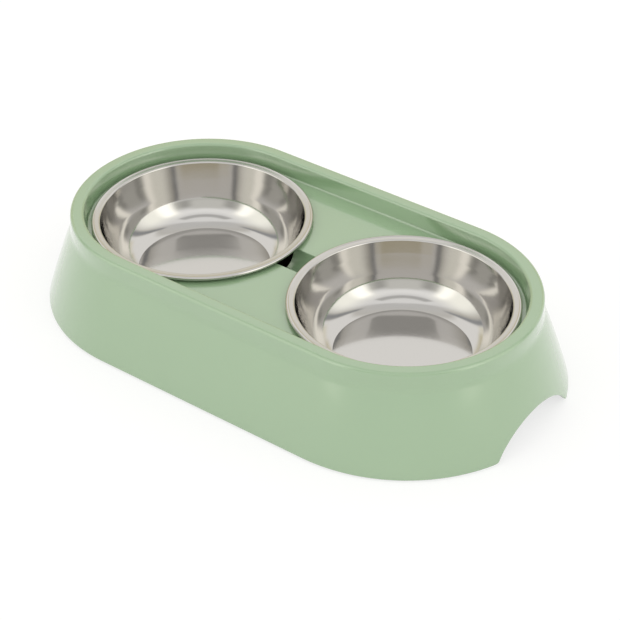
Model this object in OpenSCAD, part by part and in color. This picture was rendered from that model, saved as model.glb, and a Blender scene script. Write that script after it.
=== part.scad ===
// Double pet bowl: two pressed steel bowls that drop into one moulded plastic stand.
// Z is up, with zero at the bottom of the feet. X runs along the stand and -Y is its front.

/* [Bowls] */
// Outer diameter of a bowl's rim
bowl_rim_d = 136.4; // [110:0.2:160]
// Inside depth, from the top of the rim to the floor
bowl_depth = 36.6; // [24:0.2:44]
// Thickness of the steel sheet
sheet_t = 0.8; // [0.5:0.1:1]
// Width of the ring on top, from the rim's edge to the line of the wall
flange_w = 6.9; // [5:0.1:12]
// How far the wall draws in between the mouth and the floor
bowl_taper = 10.2; // [4:0.1:14]
// Radius of the corner between the wall and the floor
bowl_corner_round = 16.5; // [8:0.5:20]
// Angle at which that corner rises from the crease round the flat floor
crease_lift = 16; // [5:1:25]
// Straight run between the crease and the rounding of the corner
crease_run = 0.7; // [0.7:0.1:3]
// Rounding of the crease
crease_round = 1.5; // [0.5:0.5:2]
// Radius where the wall turns over into the ring
lip_round = 2; // [1.4:0.1:3]
// Thickness of the curled bead at the rim's edge
bead_d = 2.5; // [2:0.1:4]

/* [Stand] */
// Height of the moulding, without its feet
stand_h = 60.8; // [52:0.2:80]
// Wall thickness of the moulding
wall_t = 2.4; // [1.8:0.1:3]
// Gap between the rims of the two bowls
bowl_gap = 14.2; // [8:0.2:40]
// Gap between a bowl's rim and the foot of the recess wall
recess_gap = 2.9; // [1.5:0.1:8]
// How far the recess wall leans out towards the top
recess_draft = 1; // [0.4:0.1:4]
// Depth of the deck below the top of the rim
deck_drop = 11.4; // [6:0.2:14]
// Width of the rim's flat top, with its rounded edges
rim_w = 8.4; // [7.2:0.1:14]
// Height of the nearly upright band under the rim
band_h = 11.4; // [7:0.2:16]
// How far that band leans out
band_draft = 0.3; // [0.1:0.1:1.5]
// How far the skirt flares out below the band
flare_out = 17.3; // [6:0.1:28]
// How far the flared skirt bulges beyond a straight line
flare_bulge = 0.6; // [0:0.1:2]

/* [Rounded edges of the stand] */
// Outer edge of the rim
rim_out_round = 2.2; // [1:0.1:3]
// Inner edge of the rim
rim_in_round = 1.8; // [1:0.1:3]
// Corner between the deck and the recess wall
deck_round = 1.4; // [0.5:0.1:2.5]
// Hollow where the band turns into the flare
neck_round = 14; // [4:0.5:20]
// Lower outer edge of the skirt
base_round = 1.2; // [0.4:0.1:1.6]
// Corners inside the hollow rim
inside_round = 0.5; // [0.2:0.1:0.8]
// Outer edge of the ledge round each hole
ledge_round = 0.4; // [0.2:0.1:0.8]

/* [Hand holds and finger groove] */
// Width of the arch in each end, at the bottom edge
arch_w = 72; // [50:1:90]
// Height of that arch
arch_h = 17.6; // [8:0.2:22]
// Rounding where the arch meets the bottom edge
arch_foot_round = 3; // [1:0.5:5]
// Radius of the half-round groove between the bowls
groove_r = 9.7; // [6:0.1:13]

/* [Underside] */
// Depth of the collar that stiffens each hole
collar_h = 6; // [3:0.5:10]
// Thickness of collars, gussets and webs
rib_t = 1.8; // [1.2:0.1:2.4]
// How far the middle web reaches below the groove
web_below_groove = 1.6; // [0.5:0.1:6]
// How far the gussets reach down the skirt, from the deck
gusset_h = 20; // [10:1:26]
// Angle from one gusset to the next round an end
gusset_step = 60; // [30:15:90]

/* [Feet] */
// Diameter of a rubber foot
foot_d = 14; // [9:0.5:20]
// How far a foot stands out below the moulding
foot_stand = 1; // [0.6:0.1:3]
// Depth of the pocket that holds a foot
foot_pocket = 1.5; // [0.8:0.1:3]
// Rounding of a foot's lower edge
foot_round = 0.4; // [0.2:0.1:0.5]
// Angle of the feet round each end, from the X axis
foot_angle = 60; // [50:5:75]
// Height of the fin that ties a foot's pocket to the skirt
fin_h = 22; // [10:1:30]

/* [Clearances] */
// Gap between a bowl's ring and the ledge that it rests on
seat_gap = 0.3; // [0.2:0.05:0.5]
// Gap between a bead and the deck below it
bead_lift = 1.3; // [0.6:0.1:3]
// Gap between the ledge and the inside of a bead
ledge_gap = 0.5; // [0.3:0.05:1]
// Gap between the line of a bowl's wall and the edge of its hole
hole_gap = 1; // [0.6:0.05:1.4]
// Gap round a foot in its pocket
foot_gap = 0.2; // [0.1:0.05:0.4]

/* [Hidden] */

// Fineness of round bodies and of rounded corners
$fn = 96;
corner_steps = 6;
bead_steps = 20;
flare_steps = 6;
// How far every cut runs past what it cuts
overrun = 1;

// Heights
base_z = foot_stand;
stand_top = base_z + stand_h;
deck_z = stand_top - deck_drop;
neck_z = stand_top - band_h;
bowl_top = deck_z + bead_lift + bead_d;
ledge_z = bowl_top - sheet_t - seat_gap;
bowl_floor = bowl_top - bowl_depth;

// Radii of a bowl and of its hole
rim_r = bowl_rim_d / 2;
bead_r = bead_d / 2;
mouth_r = rim_r - flange_w;
hole_r = mouth_r + sheet_t + hole_gap;
ledge_r = rim_r - bead_d - ledge_gap;

// Places along the stand, and radii from the middle of its round ends
bowl_pitch = bowl_rim_d + bowl_gap;
end_x = bowl_pitch / 2;
recess_foot_r = rim_r + recess_gap;
recess_top_r = recess_foot_r + recess_draft;
rim_out_r = recess_top_r + rim_w;
neck_r = rim_out_r + band_draft;
base_r = neck_r + flare_out;

// Feet
foot_r = foot_d / 2;
pocket_r = foot_r + foot_gap;
seat_r = pocket_r + rib_t;
seat_h = foot_pocket + wall_t;
foot_out = base_r - wall_t - seat_r;

// Arch, as a circle whose middle lies below the bottom edge
arch_r = (pow(arch_w / 2, 2) + pow(arch_h, 2)) / (2 * arch_h);
arch_below = arch_r - arch_h;

// Steel and plastic
steel = [0.80, 0.79, 0.77];
sage = [0.67, 0.75, 0.65];
dark_rubber = [0.16, 0.16, 0.16];

function unit(v) = v / norm(v);
function turned(v, angle) = [
    v.x * cos(angle) - v.y * sin(angle),
    v.x * sin(angle) + v.y * cos(angle)
];
function on_circle(centre, radius, angle) = centre + radius * [cos(angle), sin(angle)];
function reversed(points) = [for (i = [len(points) - 1 : -1 : 0]) points[i]];
function heading(points, i) = unit(points[i + 1] - points[i]);
function right_of(direction) = [direction.y, -direction.x];

// Arc that rounds the corner b between a and c
function corner_arc(a, b, c, radius) =
    let (
        to_a = unit(a - b),
        to_c = unit(c - b),
        opening = acos(to_a * to_c),
        centre = b + unit(to_a + to_c) * radius / sin(opening / 2),
        start = b + to_a * radius / tan(opening / 2) - centre,
        turn = sign(cross(b - a, c - b)) * (180 - opening)
    )
    [for (step = [0 : corner_steps]) centre + turned(start, turn * step / corner_steps)];

// Path through corner points, each rounded by its own radius
function rounded(points, radii) = [
    for (i = [0 : len(points) - 1])
        each (radii[i] > 0
            ? corner_arc(points[i - 1], points[i], points[i + 1], radii[i])
            : [points[i]])
];

// Path moved to its own right by one distance, with its corners kept sharp
function moved_right(points, distance) = [
    for (i = [0 : len(points) - 1])
        let (
            before = right_of(heading(points, max(i - 1, 0))),
            after = right_of(heading(points, min(i, len(points) - 2)))
        )
        points[i] + (before + after) * distance / (1 + before * after)
];

// Outline of a pressed bowl, from its axis along the inside, round the bead and back outside
function bowl_outline() =
    let (
        bead_middle = [rim_r - bead_r, bowl_top - bead_r],
        tuck = asin((bead_r - sheet_t) / bead_r),
        wall_angle = atan(bowl_depth / bowl_taper),
        run = crease_run + bowl_corner_round * tan((wall_angle - crease_lift) / 2),
        corner_z = bowl_floor + run * sin(crease_lift),
        corner = [mouth_r - (bowl_top - corner_z) / tan(wall_angle), corner_z],
        inside = [
            [0, bowl_floor],
            corner - run * [cos(crease_lift), sin(crease_lift)],
            corner,
            [mouth_r, bowl_top]
        ],
        ring_end = [bead_middle.x - bead_r * cos(tuck), bowl_top],
        outside = moved_right(concat(inside, [ring_end]), sheet_t)
    )
    concat(
        rounded(
            concat(inside, [[bead_middle.x, bowl_top]]),
            [0, crease_round, bowl_corner_round, lip_round, 0]
        ),
        [for (step = [1 : bead_steps - 1])
            on_circle(bead_middle, bead_r, 90 - (270 + tuck) * step / bead_steps)],
        reversed(rounded(
            outside,
            [0, crease_round + sheet_t, bowl_corner_round + sheet_t, lip_round - sheet_t, 0]
        ))
    );

// Upper and outer surface of the moulding, from its axis over the rim to the bottom edge
show_corners = concat(
    [
        [0, deck_z],
        [recess_foot_r, deck_z],
        [recess_top_r, stand_top],
        [rim_out_r, stand_top],
        [neck_r, neck_z]
    ],
    [for (step = [1 : flare_steps])
        let (share = step / flare_steps)
        [
            neck_r + flare_out * share + 4 * flare_bulge * share * (1 - share),
            neck_z + (base_z - neck_z) * share
        ]]
);
show_rounds = [0, deck_round, rim_in_round, rim_out_round, neck_round];
hidden_rounds = [0, deck_round + wall_t, inside_round, inside_round, neck_round + wall_t];
flare_rounds = [for (step = [2 : flare_steps]) 0];

// The same surface, sunk into the wall by a depth and ended on the bottom plane
function sunk_corners(depth) =
    let (
        last = len(show_corners) - 1,
        sunk = moved_right(show_corners, depth),
        lean = heading(show_corners, last - 1)
    )
    [for (i = [0 : last])
        i < last ? sunk[i] : [show_corners[i].x + depth / lean.y, base_z]];

// Half of the moulding's cross-section, from its axis and back to it
function shell_outline() = rounded(
    concat(show_corners, reversed(sunk_corners(wall_t))),
    concat(
        show_rounds, flare_rounds, [base_round],
        [0], flare_rounds, reversed(hidden_rounds)
    )
);

// Half of the space inside the middle of the wall, which trims ribs and pockets
function core_outline() = concat(sunk_corners(wall_t / 2), [[0, base_z]]);

// Both halves of a cross-section as one outline
function whole(half) = concat(
    half,
    [for (i = [len(half) - 2 : -1 : 1]) [-half[i].x, half[i].y]]
);

// Outline of an arch that opens downwards, with rounded feet
function arch_outline() =
    let (
        middle = [0, base_z - arch_below],
        reach = arch_r + arch_foot_round,
        rise = asin((arch_foot_round + arch_below) / reach),
        foot_middle = middle + reach * [cos(rise), sin(rise)],
        right_foot = [for (step = [0 : corner_steps])
            on_circle(foot_middle, arch_foot_round,
                270 - (90 - rise) * step / corner_steps)],
        top = [for (step = [1 : flare_steps * 4 - 1])
            on_circle(middle, arch_r, rise + (180 - 2 * rise) * step / (flare_steps * 4))]
    )
    concat(
        [[foot_middle.x, base_z - overrun]],
        right_foot,
        top,
        [for (point = reversed(right_foot)) [-point.x, point.y]],
        [[-foot_middle.x, base_z - overrun]]
    );

// Stadium-shaped body from half of its cross-section
module stadium(half) {
    for (side = [0, 180])
        rotate([0, 0, side])
            translate([end_x, 0, 0])
                rotate([0, 0, -90])
                    rotate_extrude(angle = 180) polygon(half);
    rotate([90, 0, 90])
        linear_extrude(height = bowl_pitch, center = true)
            polygon(whole(half));
}

// Upright plate of rib thickness, drawn as radius and height and turned round Z
module upright_plate(outline, angle) {
    rotate([90, 0, angle])
        linear_extrude(height = rib_t, center = true)
            polygon(outline);
}

module at_both_ends() {
    for (side = [0, 180])
        rotate([0, 0, side])
            translate([end_x, 0, 0])
                children();
}

module at_both_bowls() {
    for (side = [-1, 1])
        translate([side * end_x, 0, 0])
            children();
}

// Gussets from the recess wall down to the skirt
module gussets() {
    outline = [
        [recess_foot_r, deck_z - wall_t / 2],
        [recess_top_r, stand_top],
        [base_r, stand_top],
        [base_r, deck_z - gusset_h],
        [neck_r, deck_z - gusset_h]
    ];
    at_both_ends()
        for (angle = [-90 : gusset_step : 90])
            upright_plate(outline, angle);
}

// Web across the middle, under the groove
module middle_web() {
    web_bottom = deck_z - groove_r - wall_t - web_below_groove;
    translate([-rib_t / 2, -base_r, web_bottom])
        cube([rib_t, 2 * base_r, deck_z - wall_t / 2 - web_bottom]);
}

// Disc that closes a foot's pocket above, and the fin that ties it to the skirt
module foot_seats() {
    fin = [
        [foot_out - seat_r, base_z + seat_h - wall_t / 2],
        [base_r, base_z + seat_h - wall_t / 2],
        [base_r, base_z + seat_h + fin_h]
    ];
    at_both_ends()
        for (angle = [-foot_angle, foot_angle]) {
            rotate([0, 0, angle])
                translate([foot_out, 0, base_z])
                    cylinder(r = seat_r, h = seat_h);
            upright_plate(fin, angle);
        }
}

// Trough below the deck that carries the groove
module groove_trough() {
    trough_r = groove_r + wall_t;
    intersection() {
        translate([-end_x, 0, deck_z])
            rotate([0, 90, 0])
                cylinder(r = trough_r, h = bowl_pitch);
        translate([-end_x, -trough_r, deck_z - trough_r])
            cube([bowl_pitch, 2 * trough_r, trough_r - wall_t / 2]);
    }
}

module hole_collars() {
    at_both_bowls()
        translate([0, 0, deck_z - wall_t - collar_h])
            cylinder(r = hole_r + rib_t, h = collar_h + wall_t / 2);
}

// Low ledge round each hole, which carries a bowl by its ring
module bowl_ledges() {
    outline = [
        [0, deck_z - wall_t / 2],
        [0, ledge_z],
        [ledge_r, ledge_z],
        [ledge_r, deck_z - wall_t / 2]
    ];
    at_both_bowls()
        rotate_extrude() polygon(rounded(outline, [0, 0, ledge_round, 0]));
}

module bowl_holes() {
    depth = max(collar_h, groove_r) + wall_t + overrun;
    at_both_bowls()
        translate([0, 0, deck_z - depth])
            cylinder(r = hole_r, h = depth + ledge_z - deck_z + overrun);
}

module finger_groove() {
    translate([-end_x, 0, deck_z])
        rotate([0, 90, 0])
            cylinder(r = groove_r, h = bowl_pitch);
}

module hand_holds() {
    at_both_ends()
        rotate([90, 0, 90])
            linear_extrude(height = base_r + overrun)
                polygon(arch_outline());
}

module foot_pockets() {
    at_both_ends()
        for (angle = [-foot_angle, foot_angle])
            rotate([0, 0, angle])
                translate([foot_out, 0, base_z - overrun])
                    cylinder(r = pocket_r, h = foot_pocket + overrun);
}

module stand() {
    color(sage)
        difference() {
            union() {
                stadium(shell_outline());
                intersection() {
                    stadium(core_outline());
                    union() {
                        gussets();
                        middle_web();
                        foot_seats();
                    }
                }
                groove_trough();
                hole_collars();
                bowl_ledges();
            }
            bowl_holes();
            finger_groove();
            hand_holds();
            foot_pockets();
        }
}

module bowl() {
    color(steel)
        rotate_extrude() polygon(bowl_outline());
}

module left_bowl() {
    translate([-end_x, 0, 0]) bowl();
}

module right_bowl() {
    translate([end_x, 0, 0]) bowl();
}

// Rubber pad, with a flat bottom and a rounded lower edge
module foot() {
    height = foot_stand + foot_pocket;
    outline = [[0, height], [foot_r, height], [foot_r, 0], [0, 0]];
    color(dark_rubber)
        rotate_extrude() polygon(rounded(outline, [0, 0, foot_round, 0]));
}

module placed_foot(side, angle) {
    rotate([0, 0, side])
        translate([end_x, 0, 0])
            rotate([0, 0, angle])
                translate([foot_out, 0, 0]) foot();
}

module front_left_foot() {
    placed_foot(180, foot_angle);
}

module front_right_foot() {
    placed_foot(0, -foot_angle);
}

module back_left_foot() {
    placed_foot(180, -foot_angle);
}

module back_right_foot() {
    placed_foot(0, foot_angle);
}

stand();
left_bowl();
right_bowl();
front_left_foot();
front_right_foot();
back_left_foot();
back_right_foot();
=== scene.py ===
"""Looks of a double pet bowl: two pressed steel bowls that lie in one moulded plastic stand.

Sizes are in millimetres in the frame's own axes: Z is up from the bottom of the feet, X runs along the
stand and -Y is its front. Meshes are written in metres, as the frame is.
"""

import logging
import math
from collections.abc import Iterator, Sequence
from dataclasses import dataclass, field
from enum import Enum

import bpy
from mathutils import Matrix, Vector


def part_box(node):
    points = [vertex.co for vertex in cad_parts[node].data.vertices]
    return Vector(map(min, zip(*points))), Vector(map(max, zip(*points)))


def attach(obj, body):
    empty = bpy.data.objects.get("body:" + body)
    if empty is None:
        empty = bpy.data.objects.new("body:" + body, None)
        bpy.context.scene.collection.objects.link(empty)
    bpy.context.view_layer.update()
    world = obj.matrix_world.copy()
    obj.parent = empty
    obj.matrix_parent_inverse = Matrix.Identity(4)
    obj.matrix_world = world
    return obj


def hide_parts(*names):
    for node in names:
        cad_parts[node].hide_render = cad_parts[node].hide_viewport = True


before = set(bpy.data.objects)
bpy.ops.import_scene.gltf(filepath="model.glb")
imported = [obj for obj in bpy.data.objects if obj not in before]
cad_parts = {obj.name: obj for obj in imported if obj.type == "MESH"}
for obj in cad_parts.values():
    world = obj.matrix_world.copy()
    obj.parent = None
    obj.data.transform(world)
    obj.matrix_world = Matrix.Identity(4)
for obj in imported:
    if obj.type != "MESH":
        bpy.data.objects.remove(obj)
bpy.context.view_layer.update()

MM = 0.001
HALF_TURN = math.pi
QUARTER_TURN = math.pi / 2
X_AXIS = (1.0, 0.0, 0.0)
Z_AXIS = (0.0, 0.0, 1.0)

SHORTEST = 0.001

log = logging.getLogger("pet_bowl")


class Slot(str, Enum):
    """The record's material slots."""

    PLASTIC = "stand_plastic"
    STEEL = "bowl_steel"
    RUBBER = "foot_rubber"


class Side(Enum):
    """The two ends of the stand, each as the sign of its X."""

    LEFT = -1
    RIGHT = 1


class Cut(str, Enum):
    """What a group of solids does to the piece it meets."""

    ADD = "UNION"
    REMOVE = "DIFFERENCE"


@dataclass(frozen=True)
class Corner:
    """A corner of a cross-section, by its distance out from the middle and its height."""

    out: float
    up: float
    rounding: float = 0.0
    steps: int = 0

    def vector(self) -> Vector:
        """Gives the corner as a flat vector."""
        return Vector((self.out, self.up))


def place(x: float, y: float, z: float) -> Vector:
    """Turns a place in millimetres into one in metres.

    Args:
        x: Distance to the right.
        y: Distance to the back.
        z: Height.

    Returns:
        The same place in metres.
    """
    return Vector((x, y, z)) * MM


def moved_right(corners: Sequence[Corner], distance: float) -> list[Corner]:
    """Moves a path to its own right and keeps its corners sharp.

    Args:
        corners: The path's corners.
        distance: How far it moves.

    Returns:
        The corners of the moved path, without rounding.
    """
    points = [corner.vector() for corner in corners]
    moved = []
    for i, point in enumerate(points):
        first = max(i - 1, 0)
        second = min(i, len(points) - 2)
        before = (points[first + 1] - points[first]).normalized()
        after = (points[second + 1] - points[second]).normalized()
        right_before = Vector((before.y, -before.x))
        right_after = Vector((after.y, -after.x))
        shift = (right_before + right_after) * distance / (1 + right_before.dot(right_after))
        moved.append(Corner(point.x + shift.x, point.y + shift.y))
    return moved


def out_at_height(path: Sequence[Corner], up: float) -> float:
    """Reads how far out a falling path lies at one height.

    Args:
        path: Corners from high to low.
        up: The height.

    Returns:
        The distance out from the middle.
    """
    for high, low in zip(path, path[1:]):
        if low.up <= up <= high.up and high.up > low.up:
            share = (high.up - up) / (high.up - low.up)
            return high.out + (low.out - high.out) * share
    return path[-1].out if up < path[-1].up else path[0].out


class Workbench:
    """Edit-mode steps that the pieces share."""

    @staticmethod
    def clear_selection() -> None:
        """Deselects every object."""
        bpy.ops.object.select_all(action="DESELECT")

    @staticmethod
    def pick(*objects: bpy.types.Object) -> None:
        """Selects these objects alone and makes the last one active."""
        Workbench.clear_selection()
        for item in objects:
            item.select_set(True)
        bpy.context.view_layer.objects.active = objects[-1]

    @staticmethod
    def close() -> None:
        """Goes back to object mode."""
        bpy.ops.object.mode_set(mode="OBJECT")

    @staticmethod
    def turn(angle: float, steps: int, centre: Vector, axis: Sequence[float]) -> None:
        """Spins what is selected.

        Args:
            angle: The angle in radians, positive as a right-handed screw along the axis.
            steps: How many steps it takes.
            centre: A point on the axis, in metres.
            axis: The direction of the axis.
        """
        # The operator counts its angle the other way round
        bpy.ops.mesh.spin(steps=steps, angle=-angle, center=tuple(centre), axis=tuple(axis))

    @staticmethod
    def pull(shift: Vector) -> None:
        """Extrudes what is selected by one shift, in metres."""
        bpy.ops.mesh.extrude_region_move(TRANSFORM_OT_translate={"value": tuple(shift)})

    @staticmethod
    def tidy(distance: float = 0.002) -> None:
        """Merges doubles all over, in millimetres, and turns the faces outwards."""
        bpy.ops.mesh.select_all(action="SELECT")
        bpy.ops.mesh.remove_doubles(threshold=distance * MM)
        bpy.ops.mesh.normals_make_consistent(inside=False)

    @staticmethod
    def apply(item: bpy.types.Object, kind: str, **settings: object) -> None:
        """Adds one modifier with its settings and applies it.

        Args:
            item: The object.
            kind: The modifier's type.
            settings: The modifier's own settings.
        """
        Workbench.pick(item)
        modifier = item.modifiers.new(kind.title(), kind)
        for name, value in settings.items():
            setattr(modifier, name, value)
        bpy.ops.object.modifier_apply(modifier=modifier.name)

    @staticmethod
    def combine(item: bpy.types.Object, others: Sequence[bpy.types.Object], cut: Cut) -> None:
        """Adds or removes solids one after another, and deletes them.

        Args:
            item: The piece that stays.
            others: The solids.
            cut: Whether they are added or removed.
        """
        for other in others:
            Workbench.apply(item, "BOOLEAN", operation=cut.value, solver="EXACT", object=other)
            bpy.data.meshes.remove(other.data)

    @staticmethod
    def settle(item: bpy.types.Object) -> None:
        """Puts an object's place and turn into its mesh."""
        Workbench.pick(item)
        bpy.ops.object.transform_apply(location=True, rotation=True, scale=True)

    @staticmethod
    def smooth(item: bpy.types.Object, sharp_over: float) -> None:
        """Shades a piece smooth, with flat faces kept flat.

        Args:
            item: The piece.
            sharp_over: Edges that turn more than this, in degrees, stay sharp.
        """
        Workbench.pick(item)
        bpy.ops.object.shade_smooth_by_angle(angle=math.radians(sharp_over))
        Workbench.apply(item, "WEIGHTED_NORMAL", mode="FACE_AREA_WITH_ANGLE", keep_sharp=True)


class Section:
    """A cross-section drawn as a wire in the upright plane that faces X, on its -Y side."""

    def __init__(self, name: str, x: float, start: Corner) -> None:
        """Starts the wire.

        Args:
            name: Name of the object that it becomes.
            x: Where the plane stands.
            start: The wire's first point.
        """
        self.x = x
        self.at = start.vector()
        Workbench.clear_selection()
        bpy.ops.mesh.primitive_plane_add(size=MM, location=self.spot(self.at))
        self.item = bpy.context.object
        self.item.name = name
        self.item.data.name = name
        Workbench.settle(self.item)
        bpy.ops.object.mode_set(mode="EDIT")
        bpy.ops.mesh.select_mode(type="VERT")
        bpy.ops.mesh.select_all(action="SELECT")
        bpy.ops.mesh.merge(type="CENTER")

    def spot(self, point: Vector) -> Vector:
        """Gives a point of the section as a place in metres."""
        return place(self.x, -point.x, point.y)

    def line_to(self, point: Vector) -> None:
        """Draws a straight stretch to a point, unless it would be too short to matter."""
        shift = self.spot(point) - self.spot(self.at)
        if shift.length > SHORTEST * MM:
            bpy.ops.mesh.extrude_vertices_move(TRANSFORM_OT_translate={"value": tuple(shift)})
        self.at = point.copy()

    def arc(self, centre: Vector, angle: float, steps: int) -> None:
        """Draws an arc from where the wire ends.

        Args:
            centre: The arc's middle.
            angle: Its angle in radians, positive from out to up.
            steps: Its number of straight pieces.
        """
        # Out points to -Y, so the turn about X is the other way round
        Workbench.turn(-angle, steps, self.spot(centre), X_AXIS)
        self.at = centre + Matrix.Rotation(angle, 2) @ (self.at - centre)

    def follow(self, corners: Sequence[Corner]) -> None:
        """Draws through corners and rounds those that have a rounding.

        Args:
            corners: The corners after the wire's first point.
        """
        for i, corner in enumerate(corners):
            if corner.rounding <= 0:
                self.line_to(corner.vector())
                continue
            to_before = (self.at - corner.vector()).normalized()
            to_after = (corners[i + 1].vector() - corner.vector()).normalized()
            opening = math.acos(max(-1.0, min(1.0, to_before.dot(to_after))))
            middle = (to_before + to_after).normalized()
            centre = corner.vector() + middle * (corner.rounding / math.sin(opening / 2))
            self.line_to(corner.vector() + to_before * (corner.rounding / math.tan(opening / 2)))
            side = to_before.x * to_after.y - to_before.y * to_after.x
            self.arc(centre, math.copysign(HALF_TURN - opening, -side), corner.steps)

    def sweep_round(self, steps: int) -> bpy.types.Object:
        """Spins the whole wire about the upright axis through its plane's middle.

        Args:
            steps: Number of steps round.

        Returns:
            The closed solid.
        """
        bpy.ops.mesh.select_all(action="SELECT")
        Workbench.turn(2 * HALF_TURN, steps, place(self.x, 0, 0), Z_AXIS)
        Workbench.tidy()
        Workbench.close()
        return self.item

    def sweep_straight(self, length: float) -> bpy.types.Object:
        """Closes the wire and pulls it along X.

        Args:
            length: How far it is pulled.

        Returns:
            The closed solid.
        """
        bpy.ops.mesh.select_all(action="SELECT")
        bpy.ops.mesh.edge_face_add()
        Workbench.pull(place(length, 0, 0))
        Workbench.tidy()
        Workbench.close()
        return self.item


class Graph:
    """Adds shader nodes so that a formula reads in the order it is worked out."""

    def __init__(self, tree: bpy.types.NodeTree) -> None:
        """Takes a node tree and empties it."""
        self.tree = tree
        tree.nodes.clear()

    def node(self, kind: str, settings: dict[str, object] | None = None,
             **values: object) -> bpy.types.Node:
        """Adds a node.

        Args:
            kind: The node's type.
            settings: The node's own properties.
            values: What its input sockets hold, or the sockets wired to them. Spaces in a socket's
                name are written as underscores.

        Returns:
            The node.
        """
        node = self.tree.nodes.new(kind)
        for name, value in (settings or {}).items():
            setattr(node, name, value)
        for name, value in values.items():
            self.put(node.inputs[name.replace("_", " ")], value)
        return node

    def put(self, socket: bpy.types.NodeSocket, value: object) -> None:
        """Wires a socket to another one, or sets its value."""
        if isinstance(value, bpy.types.NodeSocket):
            self.tree.links.new(value, socket)
        else:
            socket.default_value = value

    def math(self, operation: str, *values: object) -> bpy.types.NodeSocket:
        """Adds a Math node and gives its result."""
        node = self.node("ShaderNodeMath", {"operation": operation})
        for socket, value in zip(node.inputs, values):
            self.put(socket, value)
        return node.outputs[0]

    def ramp(self, value: object, low: float, high: float, start: float = 0.0,
             end: float = 1.0) -> bpy.types.NodeSocket:
        """Eases smoothly from one value to another between two limits.

        Args:
            value: What is compared with the limits.
            low: The lower limit.
            high: The upper limit.
            start: The result at and below the lower limit.
            end: The result at and above the upper limit.

        Returns:
            The eased value.
        """
        node = self.node("ShaderNodeMapRange", {"interpolation_type": "SMOOTHSTEP"}, Value=value,
                         From_Min=low, From_Max=high, To_Min=start, To_Max=end)
        return node.outputs["Result"]

    def mix(self, share: object, first: object, second: object) -> bpy.types.NodeSocket:
        """Mixes two colours by a share of the second."""
        node = self.node("ShaderNodeMix", {"data_type": "RGBA"})
        self.put(node.inputs["Factor"], share)
        self.put(node.inputs[6], first)
        self.put(node.inputs[7], second)
        return node.outputs[2]

    def noise(self, vector: object, size: float, detail: float = 2.0,
              roughness: float = 0.5) -> bpy.types.NodeSocket:
        """Adds noise whose features have about one size, in millimetres.

        Args:
            vector: Where it is read.
            size: Size of its largest features.
            detail: How many finer layers it has.
            roughness: How strong the finer layers are.

        Returns:
            A value around a half.
        """
        node = self.node("ShaderNodeTexNoise", Vector=vector, Scale=1 / (size * MM), Detail=detail,
                         Roughness=roughness)
        return node.outputs["Fac"]


def colour(red: float, green: float, blue: float) -> tuple[float, float, float, float]:
    """Gives an opaque linear colour."""
    return (red, green, blue, 1.0)


@dataclass(frozen=True)
class MouldedPlastic:
    """Glossy injection-moulded plastic: an even colour with a faint orange peel."""

    name: str = "glossy_moulded_plastic"
    tint: tuple[float, float, float] = (0.288, 0.430, 0.254)
    tint_drift: float = 0.025
    drift_size: float = 45.0
    rub_size: float = 7.5
    rub_range: tuple[float, float] = (0.3, 0.7)
    roughness: tuple[float, float] = (0.216, 0.2688)
    specular: float = 0.9
    coat: float = 1.0
    coat_roughness: float = 0.08
    coat_ior: float = 1.75
    peel_size: float = 2.2
    peel_depth: float = 0.0022
    grain_size: float = 0.25
    grain_depth: float = 0.0006

    def material(self) -> bpy.types.Material:
        """Builds the material."""
        made = bpy.data.materials.new(self.name)
        made.use_nodes = True
        graph = Graph(made.node_tree)
        where = graph.node("ShaderNodeTexCoord").outputs["Object"]
        drift = graph.noise(where, self.drift_size, 3.0)
        pale = colour(*(channel * (1 + self.tint_drift) for channel in self.tint))
        deep = colour(*(channel * (1 - self.tint_drift) for channel in self.tint))
        base = graph.mix(drift, deep, pale)
        rubbed = graph.noise(where, self.rub_size, 4.0)
        roughness = graph.ramp(rubbed, *self.rub_range, *self.roughness)
        peel = graph.math("MULTIPLY", graph.noise(where, self.peel_size), self.peel_depth * MM)
        grain = graph.math("MULTIPLY", graph.noise(where, self.grain_size), self.grain_depth * MM)
        bump = graph.node("ShaderNodeBump", Height=graph.math("ADD", peel, grain), Strength=1.0,
                          Distance=1.0)
        shader = graph.node("ShaderNodeBsdfPrincipled", Base_Color=base, Roughness=roughness,
                            Normal=bump.outputs["Normal"], Specular_IOR_Level=self.specular,
                            Coat_Weight=self.coat, Coat_Roughness=self.coat_roughness,
                            Coat_IOR=self.coat_ior)
        graph.node("ShaderNodeOutputMaterial", Surface=shader.outputs["BSDF"])
        return made


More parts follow.
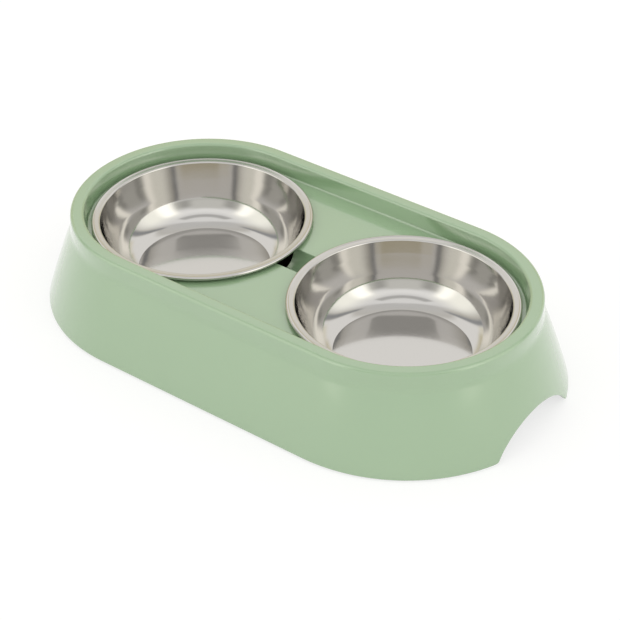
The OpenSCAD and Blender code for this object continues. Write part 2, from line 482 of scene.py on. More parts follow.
@dataclass(frozen=True)
class PressedSteel:
    """Polished stainless sheet with fine rings left by turning."""

    name: str
    centre_x: float
    tint: tuple[float, float, float] = (0.60, 0.585, 0.565)
    tint_drift: float = 0.03
    roughness: float = 0.09
    roughness_shares: tuple[float, float] = (0.8, 1.25)
    ring_range: tuple[float, float] = (0.25, 0.75)
    ring_size: float = 0.35
    ring_depth: float = 0.00012
    ring_stretch: float = 14.0
    wave_size: float = 16.0
    wave_depth: float = 0.004

    def material(self) -> bpy.types.Material:
        """Builds the material."""
        made = bpy.data.materials.new(self.name)
        made.use_nodes = True
        graph = Graph(made.node_tree)
        where = graph.node("ShaderNodeTexCoord").outputs["Object"]
        centred = graph.node("ShaderNodeMapping", {"vector_type": "POINT"}, Vector=where,
                             Location=(-self.centre_x * MM, 0.0, 0.0))
        parts = graph.node("ShaderNodeSeparateXYZ", Vector=centred.outputs["Vector"])
        x, y, z = (parts.outputs[axis] for axis in "XYZ")
        out = graph.math("SQRT", graph.math("ADD", graph.math("MULTIPLY", x, x),
                                            graph.math("MULTIPLY", y, y)))
        # Direction round the bowl, shortened so that a mark becomes a long streak
        shortened = graph.node("ShaderNodeVectorMath", {"operation": "SCALE"},
                               Vector=graph.node("ShaderNodeCombineXYZ", X=x, Y=y).outputs[0],
                               Scale=1 / self.ring_stretch)
        flat = graph.node("ShaderNodeSeparateXYZ", Vector=shortened.outputs["Vector"])
        turned = graph.node("ShaderNodeCombineXYZ", X=graph.math("ADD", out, z),
                            Y=flat.outputs["X"], Z=flat.outputs["Y"])
        rings = graph.noise(turned.outputs[0], self.ring_size, 3.0, 0.6)
        ripple = graph.noise(centred.outputs["Vector"], self.wave_size, 1.0)
        height = graph.math("ADD", graph.math("MULTIPLY", rings, self.ring_depth * MM),
                            graph.math("MULTIPLY", ripple, self.wave_depth * MM))
        bump = graph.node("ShaderNodeBump", Height=height, Strength=1.0, Distance=1.0)
        roughness = graph.ramp(rings, *self.ring_range,
                               *(self.roughness * share for share in self.roughness_shares))
        tint = graph.mix(rings, colour(*(channel * (1 - self.tint_drift) for channel in self.tint)),
                         colour(*(channel * (1 + self.tint_drift) for channel in self.tint)))
        shader = graph.node("ShaderNodeBsdfPrincipled", Base_Color=tint, Metallic=1.0,
                            Roughness=roughness, Normal=bump.outputs["Normal"])
        graph.node("ShaderNodeOutputMaterial", Surface=shader.outputs["BSDF"])
        return made


@dataclass(frozen=True)
class SatinSteel(PressedSteel):
    """The same sheet with a satin finish, for the flat ring: duller, with finer and deeper rings."""

    roughness: float = 0.22
    ring_size: float = 0.22
    ring_depth: float = 0.0006
    ring_stretch: float = 30.0


@dataclass(frozen=True)
class MouldedRubber:
    """Dark rubber with a dusty grain."""

    name: str = "moulded_rubber"
    tint: tuple[float, float, float] = (0.030, 0.030, 0.031)
    dust: tuple[float, float, float] = (0.060, 0.059, 0.056)
    dust_size: float = 4.0
    dust_range: tuple[float, float] = (0.45, 0.75)
    roughness: tuple[float, float] = (0.648, 0.792)
    grain_size: float = 0.5
    grain_depth: float = 0.02
    grain_range: tuple[float, float] = (0.3, 0.7)

    def material(self) -> bpy.types.Material:
        """Builds the material."""
        made = bpy.data.materials.new(self.name)
        made.use_nodes = True
        graph = Graph(made.node_tree)
        where = graph.node("ShaderNodeTexCoord").outputs["Object"]
        grain = graph.noise(where, self.grain_size, 4.0, 0.6)
        dusty = graph.ramp(graph.noise(where, self.dust_size, 3.0), *self.dust_range)
        bump = graph.node("ShaderNodeBump", Strength=1.0, Distance=1.0,
                          Height=graph.math("MULTIPLY", grain, self.grain_depth * MM))
        shader = graph.node("ShaderNodeBsdfPrincipled", Normal=bump.outputs["Normal"],
                            Base_Color=graph.mix(dusty, colour(*self.tint), colour(*self.dust)),
                            Roughness=graph.ramp(grain, *self.grain_range, *self.roughness))
        graph.node("ShaderNodeOutputMaterial", Surface=shader.outputs["BSDF"])
        return made


@dataclass
class Bowl:
    """One pressed bowl: a creased floor, a round corner, a wall, a flat ring and a curled bead.

    Each of its bends is a depth below the top and the wall's lean from the upright there, in degrees.
    """

    side: Side
    rim_d: float = 136.4
    sheet: float = 0.8
    ring_w: float = 5.2
    bends: tuple[tuple[float, float], ...] = (
        (0.0, 14.0),
        (1.0, 14.0),
        (8.2, 15.3),
        (8.2, 30.0),
        (8.5, 30.0),
        (8.5, 15.4),
        (12.0, 16.0),
        (20.0, 17.5),
        (23.0, 22.0),
        (28.5, 36.0),
        (36.4, 74.0),
        (36.6, 74.0),
    )
    bend_step: float = 1.6
    crease_round: float = 1.5
    lip_round: float = 1.2
    satin_share: float = 0.6
    bead_d: float = 2.5
    bead_dip: float = 0.35
    steps_round: int = 224
    crease_steps: int = 4
    lip_steps: int = 8
    bead_steps: int = 20
    sharp_over: float = 40.0
    top: float = field(init=False)
    centre_x: float = field(init=False)

    def __post_init__(self) -> None:
        """Takes the bowl's place from its node in the frame."""
        low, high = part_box(self.node)
        self.centre_x = (low.x + high.x) / 2 / MM
        self.top = high.z / MM

    @property
    def node(self) -> str:
        """Name of the bowl's node and body."""
        return f"{self.side.name.lower()}_bowl"

    @property
    def mouth_r(self) -> float:
        """Radius where the lines of wall and ring meet."""
        return self.rim_d / 2 - self.ring_w

    def wall(self) -> list[Corner]:
        """Gives the inside of the wall from the mouth down to the floor.

        It runs from one bend to the next as an arc, or straight where the lean stays the same.
        """
        corners = [Corner(self.mouth_r, self.top)]
        for (high, first), (low, second) in zip(self.bends, self.bends[1:]):
            last = corners[-1]
            lean, end = math.radians(first), math.radians(second)
            if low > high and first == second:
                corners.append(Corner(last.out - (low - high) * math.tan(lean), self.top - low))
            elif low > high:
                radius = (low - high) / (math.sin(end) - math.sin(lean))
                steps = math.ceil(abs(second - first) / self.bend_step)
                for step in range(1, steps + 1):
                    angle = lean + (end - lean) * step / steps
                    corners.append(Corner(last.out - radius * (math.cos(lean) - math.cos(angle)),
                                          last.up - radius * (math.sin(angle) - math.sin(lean))))
        return corners

    def bead_meets(self, drop: float) -> tuple[float, float]:
        """Finds where the bead's inner side lies at a depth under its top.

        Args:
            drop: The depth.

        Returns:
            The distance out from the bowl's middle, and the angle above the bead's middle.
        """
        bead_r = self.bead_d / 2
        angle = math.asin((bead_r - drop) / bead_r)
        return self.rim_d / 2 - bead_r - bead_r * math.cos(angle), angle

    def outline(self) -> tuple[Corner, list[Corner], list[Corner]]:
        """Works out the wire: its start, the inside up to the bead, and the outside back."""
        ring = self.top - self.bead_dip
        wall = self.wall()
        crease = Corner(wall[-1].out, wall[-1].up, self.crease_round, self.crease_steps)
        lip = Corner(out_at_height(wall, ring), ring, self.lip_round, self.lip_steps)
        start = Corner(0, crease.up)
        inside = [crease, *wall[-2:0:-1], lip, Corner(self.bead_meets(self.bead_dip)[0], ring)]
        ring_end = Corner(self.bead_meets(self.bead_dip + self.sheet)[0], ring)
        under = moved_right([start, *inside[:-1], ring_end], self.sheet)
        under[1] = Corner(under[1].out, under[1].up, self.crease_round + self.sheet, self.crease_steps)
        under[-2] = Corner(under[-2].out, under[-2].up, self.lip_round - self.sheet, self.lip_steps)
        return start, inside, under[::-1]

    def mesh(self) -> bpy.types.Object:
        """Draws the wire and spins it into the bowl."""
        start, inside, outside = self.outline()
        bead_r = self.bead_d / 2
        middle = Vector((self.rim_d / 2 - bead_r, self.top - bead_r))
        above = self.bead_meets(self.bead_dip)[1]
        below = self.bead_meets(self.bead_dip + self.sheet)[1]
        section = Section(f"{self.node}_shell", self.centre_x, start)
        section.follow(inside)
        section.arc(middle, -(2 * HALF_TURN - above + below), self.bead_steps)
        section.follow(outside)
        shell = section.sweep_round(self.steps_round)
        Workbench.smooth(shell, self.sharp_over)
        return shell

    def dress(self, shell: bpy.types.Object) -> None:
        """Gives the inside and the bead their polish and the flat ring its satin finish.

        Args:
            shell: The bowl's mesh.
        """
        name = self.side.name.lower()
        shell.data.materials.append(PressedSteel(f"polished_steel_{name}", self.centre_x).material())
        shell.data.materials.append(SatinSteel(f"satin_steel_{name}", self.centre_x).material())
        ring_from = self.mouth_r + self.lip_round * self.satin_share
        ring_to = self.bead_meets(self.bead_dip)[0]
        axis = Vector((self.centre_x, 0)) * MM
        for face in shell.data.polygons:
            out = (face.center.xy - axis).length / MM
            high = face.center.z / MM > self.top - self.bead_dip - self.sheet / 2
            face.material_index = int(ring_from < out < ring_to and high)

    def build(self) -> bpy.types.Object:
        """Makes the finished bowl and lets it ride on its body."""
        shell = self.mesh()
        self.dress(shell)
        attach(shell, self.node)
        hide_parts(self.node)
        return shell


@dataclass
class Stand:
    """The one moulding: a flared skirt, a raised rim and a sunk deck with two holes and a groove.

    Its legs are the angles that make up one end, in degrees, each with its count of steps: they are
    finest at the feet of the arch. Its arches leave all that is higher than arch_keep as it is.
    """

    bowl: Bowl
    wall: float = 2.4
    recess_gap: float = 2.9
    recess_draft: float = 1.0
    deck_drop: float = 11.4
    rim_w: float = 8.4
    band_h: float = 11.4
    band_draft: float = 0.3
    flare_out: float = 17.3
    flare_bulge: float = 0.6
    rim_out_round: float = 2.2
    rim_in_round: float = 1.8
    deck_round: float = 1.4
    neck_round: float = 14.0
    base_round: float = 1.3
    base_inner_share: float = 0.4
    inside_round: float = 0.5
    arch_w: float = 72.0
    arch_h: float = 17.6
    arch_foot_round: float = 3.0
    arch_keep: float = 36.0
    groove_r: float = 9.7
    hole_gap: float = 0.4
    seat_gap: float = 0.3
    ledge_gap: float = 0.5
    ledge_round: float = 0.4
    ledge_root: float = 0.9
    edge_round: float = 0.8
    deck_margin: float = 5.5
    round_steps: int = 8
    inside_steps: int = 3
    base_steps: int = 3
    neck_steps: int = 6
    flare_steps: int = 14
    legs: tuple[tuple[float, int], ...] = ((64.0, 32), (9.0, 45), (34.0, 24), (9.0, 45), (64.0, 32))
    edge_halvings: int = 40
    level_within: float = 0.2
    overrun: float = 1.0
    sharp_over: float = 40.0
    top: float = field(init=False)
    base: float = field(init=False)
    end_x: float = field(init=False)

    def __post_init__(self) -> None:
        """Takes the heights and the pitch from the frame."""
        low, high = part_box("stand")
        self.top = high.z / MM
        self.base = low.z / MM
        self.end_x = abs(self.bowl.centre_x)

    @property
    def deck(self) -> float:
        """Height of the deck."""
        return self.top - self.deck_drop

    @property
    def hole_r(self) -> float:
        """Radius of the hole under a bowl."""
        return self.bowl.mouth_r + self.bowl.sheet + self.hole_gap

    @property
    def ledge_z(self) -> float:
        """Height of the ledge that carries a bowl by its ring."""
        return self.bowl.top - self.bowl.bead_dip - self.bowl.sheet - self.seat_gap

    @property
    def ledge_r(self) -> float:
        """Outer radius of the ledge, inside the bead."""
        return self.bowl.rim_d / 2 - self.bowl.bead_d - self.ledge_gap

    @property
    def recess_foot_r(self) -> float:
        """Radius of the recess where its wall meets the deck."""
        return self.bowl.rim_d / 2 + self.recess_gap

    @property
    def neck_r(self) -> float:
        """Radius at the bottom of the upright band."""
        return self.recess_foot_r + self.recess_draft + self.rim_w + self.band_draft

    @property
    def base_r(self) -> float:
        """Radius at the bottom edge."""
        return self.neck_r + self.flare_out

    def flare(self) -> list[Corner]:
        """Gives the flared skirt below the neck as a gently bulging curve."""
        neck_z = self.top - self.band_h
        corners = []
        for step in range(1, self.flare_steps + 1):
            share = step / self.flare_steps
            bulge = 4 * self.flare_bulge * share * (1 - share)
            corners.append(Corner(self.neck_r + self.flare_out * share + bulge,
                                  neck_z + (self.base - neck_z) * share))
        return corners

    def shown(self) -> list[Corner]:
        """Gives the shown surface from the deck over the rim to the bottom edge."""
        recess_top_r = self.recess_foot_r + self.recess_draft
        return [
            Corner(self.recess_foot_r - self.deck_margin, self.deck),
            Corner(self.recess_foot_r, self.deck, self.deck_round, self.round_steps),
            Corner(recess_top_r, self.top, self.rim_in_round, self.round_steps),
            Corner(recess_top_r + self.rim_w, self.top, self.rim_out_round, self.round_steps),
            Corner(self.neck_r, self.top - self.band_h, self.neck_round, self.neck_steps),
            *self.flare(),
        ]

    def sunk(self, depth: float) -> list[Corner]:
        """Gives the shown surface sunk into the wall by a depth and ended on the bottom plane."""
        shown = self.shown()
        path = moved_right(shown, depth)
        lean = (shown[-1].vector() - shown[-2].vector()).normalized()
        path[-1] = Corner(shown[-1].out + depth / lean.y, self.base)
        return path

    def hidden(self) -> list[Corner]:
        """Gives the surface behind the wall, with its corners rounded."""
        path = self.sunk(self.wall)
        rounds = [0.0, self.deck_round + self.wall, self.inside_round, self.inside_round,
                  self.neck_round + self.wall]
        steps = [0, self.round_steps, self.inside_steps, self.inside_steps, self.neck_steps]
        bent = [Corner(corner.out, corner.up, rounding, count)
                for corner, rounding, count in zip(path, rounds, steps)]
        return bent + path[len(bent):]

    def shell(self) -> bpy.types.Object:
        """Draws the wall's section and sweeps it round the stand, along two sides and two ends."""
        shown = self.shown()
        section = Section("stand_shell", -self.end_x, shown[0])
        section.follow([*shown[1:], *reversed(self.hidden())])
        bpy.ops.mesh.select_all(action="SELECT")
        for side in (Side.RIGHT, Side.LEFT):
            Workbench.pull(place(2 * self.end_x * side.value, 0, 0))
            for angle, steps in self.legs:
                middle = place(self.end_x * side.value, 0, 0)
                Workbench.turn(math.radians(angle), steps, middle, Z_AXIS)
        Workbench.tidy()
        bpy.ops.mesh.select_all(action="SELECT")
        bpy.ops.mesh.fill_holes(sides=0)
        Workbench.tidy()
        Workbench.close()
        return section.item

    def arch_height(self, y: float) -> float:
        """Gives the height of the bottom edge over a place across the stand.

        Args:
            y: Distance from the middle line.

        Returns:
            The height, which is the base outside the arch.
        """
        across = abs(y)
        radius = ((self.arch_w / 2) ** 2 + self.arch_h ** 2) / (2 * self.arch_h)
        middle = self.base + self.arch_h - radius
        reach = radius + self.arch_foot_round
        foot_up = self.base + self.arch_foot_round
        rise = math.asin((foot_up - middle) / reach)
        foot_y = reach * math.cos(rise)
        if across >= foot_y:
            return self.base
        if across >= radius * math.cos(rise):
            return foot_up - math.sqrt(self.arch_foot_round ** 2 - (across - foot_y) ** 2)
        return middle + math.sqrt(radius ** 2 - across ** 2)

    def edge_height(self, path: Sequence[Corner], angle: float) -> float:
        """Finds where a surface of the skirt is cut by the arch, at one angle round the end.

        Args:
            path: The surface, from high to low.
            angle: The angle from the X axis.

        Returns:
            The height of the cut.
        """
        low, high = self.base, self.arch_keep
        for _ in range(self.edge_halvings):
            middle = (low + high) / 2
            if self.arch_height(out_at_height(path, middle) * math.sin(angle)) > middle:
                low = middle
            else:
                high = middle
        return low

    def open_arches(self, shell: bpy.types.Object) -> None:
        """Lifts the lower rows of both ends, along their surface, until the bottom edge is the arch.

        Args:
            shell: The stand's mesh.
        """
        falling = [corner for corner in self.shown() if corner.up <= self.top - self.band_h]
        surfaces = [falling, self.sunk(self.wall)[-len(falling):]]
        cuts: dict[tuple[int, float], float] = {}
        for vertex in shell.data.vertices:
            x, y, z = vertex.co / MM
            if abs(x) <= self.end_x or z >= self.arch_keep:
                continue
            middle = math.copysign(self.end_x, x)
            angle = math.atan2(y, abs(x) - self.end_x)
            out = math.hypot(x - middle, y)
            which = min((0, 1), key=lambda i: abs(out_at_height(surfaces[i], z) - out))
            key = (which, round(math.degrees(angle), 3))
            if key not in cuts:
                cuts[key] = self.edge_height(surfaces[which], angle)
            share = (self.arch_keep - cuts[key]) / (self.arch_keep - self.base)
            new_z = self.arch_keep - (self.arch_keep - z) * share
            new_out = out_at_height(surfaces[which], new_z)
            unit = Vector((x - middle, y)) / out
            vertex.co = place(middle + unit.x * new_out, unit.y * new_out, new_z)

    def round_bottom(self, shell: bpy.types.Object, rows: dict[int, float]) -> None:
        """Bevels the outer and inner bottom edges.

        Args:
            shell: The stand's mesh.
            rows: The share of the full rounding that each vertex of the bottom edges takes.
        """
        weights = shell.data.attributes.new("bevel_weight_edge", "FLOAT", "EDGE")
        for edge in shell.data.edges:
            first, second = edge.vertices
            if first in rows and rows.get(second) == rows[first]:
                weights.data[edge.index].value = rows[first]
        Workbench.apply(shell, "BEVEL", limit_method="WEIGHT", width=self.base_round * MM,
                        segments=self.base_steps, use_clamp_overlap=True)

    def bottom_rows(self, shell: bpy.types.Object) -> dict[int, float]:
        """Finds the vertices of the outer and inner bottom edges.

        Args:
            shell: The stand's mesh, before its arches.

        Returns:
            Each vertex with its share of the full rounding.
        """
        inner_out = self.sunk(self.wall)[-1].out
        halfway = (self.base_r + inner_out) / 2
        rows = {}
        for vertex in shell.data.vertices:
            x, y, z = vertex.co / MM
            if abs(z - self.base) < self.level_within:
                out = math.hypot(max(abs(x) - self.end_x, 0), y)
                rows[vertex.index] = 1.0 if out > halfway else self.base_inner_share
        return rows

    def build(self) -> bpy.types.Object:
        """Makes the finished stand and lets it ride on its body."""
        shell = self.shell()
        rows = self.bottom_rows(shell)
        self.open_arches(shell)
        self.round_bottom(shell, rows)
        under = Underside(self)
        Workbench.combine(shell, under.added(), Cut.ADD)
        Workbench.combine(shell, under.removed(), Cut.REMOVE)
        Workbench.smooth(shell, self.sharp_over)
        shell.data.materials.append(MouldedPlastic().material())
        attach(shell, "stand")
        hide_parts("stand")
        return shell


@dataclass
class Underside:
    """What stiffens the stand from below, and the holes, groove and pockets cut through it.

    The seats start a little over the bottom edge, by lift, and the cutters' rounded edges stand a
    little past the faces that they meet, by cross, so that no two faces lie on each other.
    """

    stand: Stand
    collar_h: float = 6.0
    rib: float = 1.8
    web_below_groove: float = 1.6
    gusset_h: float = 20.0
    gusset_angles: tuple[float, ...] = (-90.0, -30.0, 30.0, 90.0)
    foot_d: float = 14.0
    foot_pocket: float = 1.5
    foot_gap: float = 0.2
    foot_angle: float = 60.0
    fin_up: float = 19.0
    lift: float = 0.1
    cross: float = 0.03
    web_angle: float = -90.0
    steps_round: int = 160
    seat_steps: int = 48
    groove_steps: int = 40

    @property
    def seat_r(self) -> float:
        """Radius of the disc over a foot."""
        return self.foot_d / 2 + self.foot_gap + self.rib

    @property
    def foot_out(self) -> float:
        """Distance of a foot from the middle of its end."""
        return self.stand.base_r - self.stand.wall - self.seat_r

    def middle_path(self, low: float, high: float) -> list[Corner]:
        """Gives the middle of the skirt's wall between two heights, from high to low."""
        path = self.stand.sunk(self.stand.wall / 2)[3:]
        inner = [corner for corner in path if low < corner.up < high]
        return [Corner(out_at_height(path, high), high), *inner,
                Corner(out_at_height(path, low), low)]

    def plate(self, name: str, x: float, corners: Sequence[Corner], angle: float) -> bpy.types.Object:
        """Makes an upright plate that runs out from an upright axis.

        Args:
            name: The object's name.
            x: Where the axis stands.
            corners: The plate's outline.
            angle: Its direction from the X axis, in degrees.

        Returns:
            The plate.
        """
        section = Section(name, -self.rib / 2, corners[0])
        section.follow([*corners[1:], corners[0]])
        Workbench.tidy()
        item = section.sweep_straight(self.rib)
        item.rotation_euler.z = math.radians(angle) + QUARTER_TURN
        item.location.x = x * MM
        Workbench.settle(item)
        return item

    def disc(self, name: str, spot: tuple[float, float], radius: float, low: float, high: float,
             steps: int) -> bpy.types.Object:
        """Makes a plain round solid.

        Args:
            name: The object's name.
            spot: Its axis.
            radius: Its radius.
            low: The height of its bottom.
            high: The height of its top.
            steps: Number of steps round.

        Returns:
            The solid.
        """
        section = Section(name, 0.0, Corner(0, low))
        section.follow([Corner(radius, low), Corner(radius, high), Corner(0, high)])
        item = section.sweep_round(steps)
        item.location = place(*spot, 0)
        Workbench.settle(item)
        return item

    def foot_spots(self) -> Iterator[tuple[float, float, float, float]]:
        """Gives each foot's place, its end's middle and its direction from there."""
        for side in Side:
            for angle in (-self.foot_angle, self.foot_angle):
                middle = side.value * self.stand.end_x
                turned = angle if side is Side.RIGHT else 180 - angle
                out = Vector((math.cos(math.radians(turned)), math.sin(math.radians(turned))))
                yield middle + out.x * self.foot_out, out.y * self.foot_out, middle, turned

    def gussets(self) -> Iterator[bpy.types.Object]:
        """Makes the gussets from the recess wall down to the skirt."""
        stand = self.stand
        sunk = stand.sunk(stand.wall / 2)
        low = stand.deck - self.gusset_h
        outline = [
            Corner(stand.recess_foot_r, stand.deck - stand.wall / 2),
            Corner(sunk[2].out, sunk[2].up),
            Corner(sunk[3].out, sunk[3].up),
            *self.middle_path(low, sunk[4].up),
            Corner(stand.neck_r, low),
        ]
        for side in Side:
            for angle in self.gusset_angles:
                turned = angle if side is Side.RIGHT else 180 - angle
                yield self.plate("gusset", side.value * stand.end_x, outline, turned)

    def web(self) -> bpy.types.Object:
        """Makes the web across the middle, under the groove."""
        stand = self.stand
        low = stand.deck - stand.groove_r - stand.wall - self.web_below_groove
        front = self.middle_path(low, stand.deck - stand.wall / 2)
        back = [Corner(-corner.out, corner.up) for corner in reversed(front)]
        return self.plate("web", 0.0, [*front, *back], self.web_angle)

    def trough(self) -> bpy.types.Object:
        """Makes the trough that carries the groove."""
        stand = self.stand
        radius = stand.groove_r + stand.wall
        high = stand.deck - stand.wall / 2
        half = math.sqrt(radius ** 2 - (stand.wall / 2) ** 2)
        tilt = math.asin(stand.wall / 2 / radius)
        section = Section("trough", -stand.end_x, Corner(half, high))
        section.arc(Vector((0, stand.deck)), -(HALF_TURN - 2 * tilt), self.groove_steps)
        section.line_to(Vector((half, high)))
        Workbench.tidy()
        return section.sweep_straight(2 * stand.end_x)

    def ledge(self, x: float) -> bpy.types.Object:
        """Makes the low ledge round a hole, still closed over it."""
        stand = self.stand
        section = Section("ledge", x, Corner(0, stand.deck - stand.ledge_root))
        section.follow([
            Corner(stand.ledge_r, stand.deck - stand.ledge_root),
            Corner(stand.ledge_r, stand.ledge_z, stand.ledge_round, stand.round_steps),
            Corner(0, stand.ledge_z),
        ])
        return section.sweep_round(self.steps_round)

    def added(self) -> Iterator[bpy.types.Object]:
        """Makes the solids that the stand gains."""
        stand = self.stand
        yield self.trough()
        for side in Side:
            yield self.ledge(side.value * stand.end_x)
        for side in Side:
            yield self.disc("collar", (side.value * stand.end_x, 0.0), stand.hole_r + self.rib,
                            stand.deck - stand.wall - self.collar_h, stand.deck - stand.wall / 2,
                            self.steps_round)
        yield self.web()
        yield from self.gussets()
        seat_h = self.foot_pocket + stand.wall
        fin_low = stand.base + seat_h - stand.wall / 2
        fin = [Corner(self.foot_out - self.seat_r, fin_low), *self.middle_path(fin_low, self.fin_up)]
        for x, y, middle, turned in self.foot_spots():
            yield self.disc("seat", (x, y), self.seat_r, stand.base + self.lift,
                            stand.base + seat_h, self.seat_steps)
            yield self.plate("fin", middle, fin, turned)

    def removed(self) -> Iterator[bpy.types.Object]:
        """Makes the cutters for the holes, the groove and the pockets."""
        stand = self.stand
        ease = stand.edge_round
        low = stand.deck - max(self.collar_h, stand.groove_r) - stand.wall - stand.overrun
        high = stand.ledge_z + stand.overrun
        for side in Side:
            soft = stand.ledge_round
            level = stand.ledge_z + self.cross - soft
            section = Section("hole", side.value * stand.end_x, Corner(0, low))
            section.follow([Corner(stand.hole_r, low), Corner(stand.hole_r, level)])
            section.arc(Vector((stand.hole_r + soft, level)), -QUARTER_TURN, stand.round_steps)
            section.follow([Corner(stand.hole_r + soft, high), Corner(0, high)])
            yield section.sweep_round(self.steps_round)
        yield self.groove_cutter(ease, high)
        for x, y, _, _ in self.foot_spots():
            yield self.disc("pocket", (x, y), self.foot_d / 2 + self.foot_gap,
                            stand.base - stand.overrun, stand.base + self.foot_pocket,
                            self.seat_steps)

    def groove_cutter(self, ease: float, high: float) -> bpy.types.Object:
        """Makes the cutter for the groove, which leaves both its edges rounded.

        Args:
            ease: Radius of the rounded edges.
            high: Height of the cutter's top.

        Returns:
            The cutter.
        """
        stand = self.stand
        reach = stand.groove_r + ease
        edge = math.sqrt(reach ** 2 - ease ** 2)
        tilt = math.asin(ease / reach)
        level = stand.deck + self.cross
        centre = Vector((0, level))
        section = Section("groove", -stand.end_x, Corner(edge, high))
        section.line_to(Vector((edge, level)))
        section.arc(Vector((edge, level - ease)), QUARTER_TURN - tilt, stand.round_steps)
        section.arc(centre, -(HALF_TURN - 2 * tilt), self.groove_steps)
        section.arc(Vector((-edge, level - ease)), QUARTER_TURN - tilt, stand.round_steps)
        section.line_to(Vector((-edge, high)))
        section.line_to(Vector((edge, high)))
        Workbench.tidy()
        return section.sweep_straight(2 * stand.end_x)


@dataclass
class Foot:
    """One rubber pad with a rounded lower edge."""

    node: str
    edge_round: float = 0.4
    steps_round: int = 72
    round_steps: int = 5
    sharp_over: float = 40.0

    def build(self, rubber: bpy.types.Material) -> bpy.types.Object:
        """Makes the finished foot where its node lies.

        Args:
            rubber: The foot's material.

        Returns:
            The foot.
        """
        low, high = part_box(self.node)
        radius = (high.x - low.x) / 2 / MM
        height = high.z / MM
        section = Section(f"{self.node}_pad", 0.0, Corner(0, height))
        section.follow([
            Corner(radius, height, self.edge_round / 2, self.round_steps),
            Corner(radius, 0, self.edge_round, self.round_steps),
            Corner(0, 0),
        ])
        pad = section.sweep_round(self.steps_round)
        pad.location = ((low.x + high.x) / 2, (low.y + high.y) / 2, 0)
        Workbench.settle(pad)
        Workbench.smooth(pad, self.sharp_over)
        pad.data.materials.append(rubber)
        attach(pad, "stand")
        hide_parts(self.node)
        return pad


@dataclass(frozen=True)
class Panel:
    """A patch of the studio's light, by its direction in degrees from X and above the floor."""

    azimuth: float
    elevation: float
    half_width: float
    half_height: float
    soft: float
    level: tuple[float, float, float]


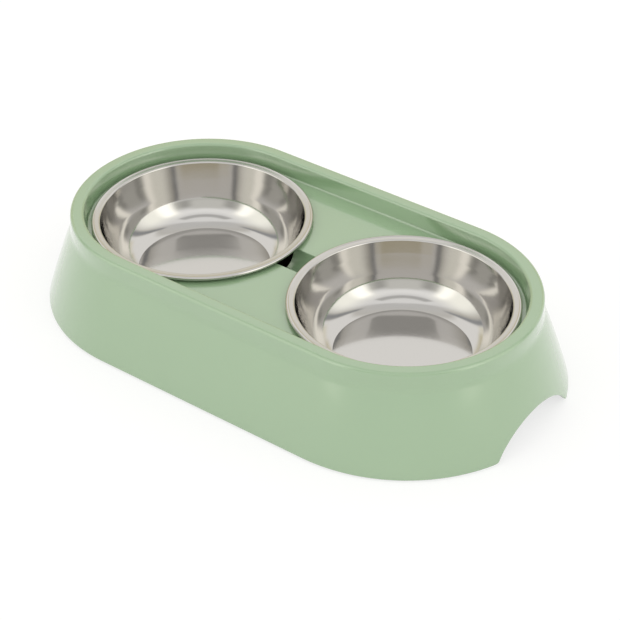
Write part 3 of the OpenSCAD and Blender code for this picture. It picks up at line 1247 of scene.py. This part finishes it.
@dataclass
class Studio:
    """A plain white studio: a pale floor, soft light all round and the camera."""

    azimuth: float = 37.56
    elevation: float = 35.652
    roll: float = -0.531
    distance: float = 1194.4
    target: tuple[float, float, float] = (-6.99, 18.54, 1.0)
    focal_pixels: float = 1931.5
    picture_pixels: float = 620.0
    sensor: float = 36.0
    clip_near_share: float = 0.05
    clip_far_share: float = 4.0
    floor_size: float = 9000.0
    floor_white: float = 0.90
    floor_glow: float = 0.72
    floor_shade_share: float = 0.356
    floor_ease: float = 8.0
    room: tuple[float, float, float] = (1.05, 1.05, 1.045)
    panels: tuple[Panel, ...] = (
        Panel(126.0, 78.0, 90.0, 14.0, 24.0, (0.76, 0.76, 0.75)),
        Panel(304.0, 24.0, 48.0, 12.0, 14.0, (0.52, 0.52, 0.49)),
        Panel(304.0, 28.0, 22.0, 14.0, 14.0, (0.80, 0.80, 0.76)),
        Panel(304.0, 68.0, 60.0, 5.0, 6.0, (0.62, 0.62, 0.61)),
        Panel(304.0, 50.0, 60.0, 6.0, 8.0, (1.16, 1.16, 1.15)),
        Panel(126.5, 0.0, 84.0, 64.0, 30.0, (0.62, 0.60, 0.55)),
        Panel(126.5, 0.0, 65.0, 58.0, 7.0, (1.06, 1.05, 1.03)),
        Panel(126.5, 4.0, 57.0, 26.0, 9.0, (0.98, 0.94, 0.80)),
        Panel(132.0, 4.0, 40.0, 27.0, 9.0, (0.78, 0.72, 0.54)),
        Panel(16.0, 24.0, 26.0, 28.0, 34.0, (1.42, 1.42, 1.31)),
        Panel(0.0, 24.0, 10.0, 24.0, 14.0, (1.90, 1.88, 1.76)),
        Panel(232.0, 24.0, 26.0, 28.0, 34.0, (1.42, 1.42, 1.31)),
        Panel(251.0, 24.0, 8.0, 24.0, 14.0, (1.85, 1.83, 1.71)),
        Panel(56.0, 38.0, 4.5, 26.0, 7.0, (0.36, 0.37, 0.38)),
        Panel(189.0, 38.0, 4.5, 26.0, 7.0, (0.38, 0.39, 0.40)),
    )

    def camera(self) -> None:
        """Sets the camera where the photograph was taken."""
        azimuth, elevation, roll = map(math.radians, (self.azimuth, self.elevation, self.roll))
        back = Vector((math.sin(azimuth) * math.cos(elevation),
                       -math.cos(azimuth) * math.cos(elevation), math.sin(elevation)))
        level = Vector((math.cos(azimuth), math.sin(azimuth), 0))
        up = back.cross(level)
        right = math.cos(roll) * level + math.sin(roll) * up
        top = -math.sin(roll) * level + math.cos(roll) * up
        data = bpy.data.cameras.new("photo_camera")
        data.sensor_width = self.sensor
        data.lens = self.focal_pixels / self.picture_pixels * self.sensor
        data.clip_start = self.distance * MM * self.clip_near_share
        data.clip_end = self.floor_size * MM * self.clip_far_share
        camera = bpy.data.objects.new("photo_camera", data)
        bpy.context.scene.collection.objects.link(camera)
        turned = Matrix((right, top, back)).transposed().to_4x4()
        spot = (Vector(self.target) + back * self.distance) * MM
        camera.matrix_world = Matrix.Translation(spot) @ turned
        bpy.context.scene.camera = camera

    def open_floor(self, graph: Graph) -> bpy.types.NodeSocket:
        """Tells the open floor from the floor that the stand covers.

        Args:
            graph: The floor's nodes.

        Returns:
            One on the open floor and zero under the stand, eased between.
        """
        near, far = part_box("right_bowl")
        end_x = (near.x + far.x) / 2
        base_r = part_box("stand")[1].y
        parts = graph.node("ShaderNodeSeparateXYZ",
                           Vector=graph.node("ShaderNodeTexCoord").outputs["Object"]).outputs
        along = graph.math("MAXIMUM", graph.math("SUBTRACT", graph.math("ABSOLUTE", parts["X"]),
                                                 end_x), 0.0)
        out = graph.math("SQRT", graph.math("ADD", graph.math("POWER", along, 2.0),
                                            graph.math("MULTIPLY", parts["Y"], parts["Y"])))
        return graph.ramp(out, base_r - self.floor_ease * MM, base_r)

    def floor(self) -> None:
        """Lays the pale floor, which is lit as the object is and keeps its shadow."""
        Workbench.clear_selection()
        bpy.ops.mesh.primitive_plane_add(size=self.floor_size * MM)
        ground = bpy.context.object
        ground.name = "studio_floor"
        made = bpy.data.materials.new("white_floor")
        made.use_nodes = True
        graph = Graph(made.node_tree)
        white = colour(self.floor_white, self.floor_white, self.floor_white)
        matt = graph.node("ShaderNodeBsdfDiffuse", Color=white).outputs["BSDF"]
        path = graph.node("ShaderNodeLightPath").outputs
        seen = graph.math("MAXIMUM", path["Is Camera Ray"],
                          graph.math("MAXIMUM", path["Is Glossy Ray"], path["Is Transmission Ray"]))
        shade = colour(*(self.floor_white * self.floor_shade_share,) * 3)
        dim = graph.node("ShaderNodeBsdfDiffuse", Color=shade).outputs["BSDF"]
        lit = graph.math("MAXIMUM", path["Is Camera Ray"], self.open_floor(graph))
        glow = graph.node("ShaderNodeEmission", Color=colour(1, 1, 1),
                          Strength=graph.math("MULTIPLY", lit, self.floor_glow))
        bright = graph.node("ShaderNodeAddShader")
        graph.put(bright.inputs[0], dim)
        graph.put(bright.inputs[1], glow.outputs["Emission"])
        both = graph.node("ShaderNodeMixShader", Fac=seen)
        graph.put(both.inputs[1], matt)
        graph.put(both.inputs[2], bright.outputs["Shader"])
        graph.node("ShaderNodeOutputMaterial", Surface=both.outputs["Shader"])
        ground.data.materials.append(made)

    def mask(self, graph: Graph, panel: Panel, azimuth: bpy.types.NodeSocket,
             elevation: bpy.types.NodeSocket) -> bpy.types.NodeSocket:
        """Works out how far a direction lies inside a panel.

        Args:
            graph: The world's nodes.
            panel: The panel.
            azimuth: The direction's azimuth, in degrees.
            elevation: Its elevation, in degrees.

        Returns:
            One inside the panel, zero outside it, and eased between.
        """
        across = graph.math("ABSOLUTE", graph.math("WRAP", graph.math("SUBTRACT", azimuth,
                                                                      panel.azimuth), 180.0, -180.0))
        along = graph.math("ABSOLUTE", graph.math("SUBTRACT", elevation, panel.elevation))
        half = panel.soft / 2
        inside_width = graph.ramp(across, panel.half_width - half, panel.half_width + half, 1.0, 0.0)
        inside_height = graph.ramp(along, panel.half_height - half, panel.half_height + half, 1.0, 0.0)
        return graph.math("MULTIPLY", inside_width, inside_height)

    def light(self) -> None:
        """Lights the world with the studio's panels and shows it white behind the object."""
        world = bpy.data.worlds.new("studio_light")
        bpy.context.scene.world = world
        world.use_nodes = True
        graph = Graph(world.node_tree)
        direction = graph.node("ShaderNodeTexCoord").outputs["Generated"]
        parts = graph.node("ShaderNodeSeparateXYZ", Vector=direction).outputs
        degrees = math.degrees(1)
        azimuth = graph.math("MULTIPLY", graph.math("ARCTAN2", parts["Y"], parts["X"]), degrees)
        elevation = graph.math("MULTIPLY", graph.math("ARCSINE", parts["Z"]), degrees)
        light: object = colour(*self.room)
        for panel in self.panels:
            inside = self.mask(graph, panel, azimuth, elevation)
            light = graph.mix(inside, light, colour(*panel.level))
        path = graph.node("ShaderNodeLightPath").outputs
        seen = graph.math("MAXIMUM", path["Is Camera Ray"], path["Is Transmission Ray"])
        graph.node("ShaderNodeOutputWorld", Surface=graph.node(
            "ShaderNodeBackground", Color=graph.mix(seen, light, colour(1, 1, 1)),
            Strength=1.0).outputs["Background"])

    def build(self) -> None:
        """Sets up floor, light and camera."""
        self.camera()
        self.floor()
        self.light()
        bpy.context.scene.view_settings.view_transform = "Standard"


def main() -> None:
    """Builds the studio, the stand, the bowls and the feet, and reports each piece."""
    logging.basicConfig(level=logging.INFO, format="%(name)s: %(message)s")
    Studio().build()
    bowls = [Bowl(side) for side in Side]
    pieces = [Stand(bowls[0]).build()]
    pieces += [bowl.build() for bowl in bowls]
    rubber = MouldedRubber().material()
    pieces += [Foot(node).build(rubber) for node in sorted(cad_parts) if node.endswith("foot")]
    for piece in pieces:
        log.info("%s has %d faces", piece.name, len(piece.data.polygons))


if __name__ == "__main__":
    main()
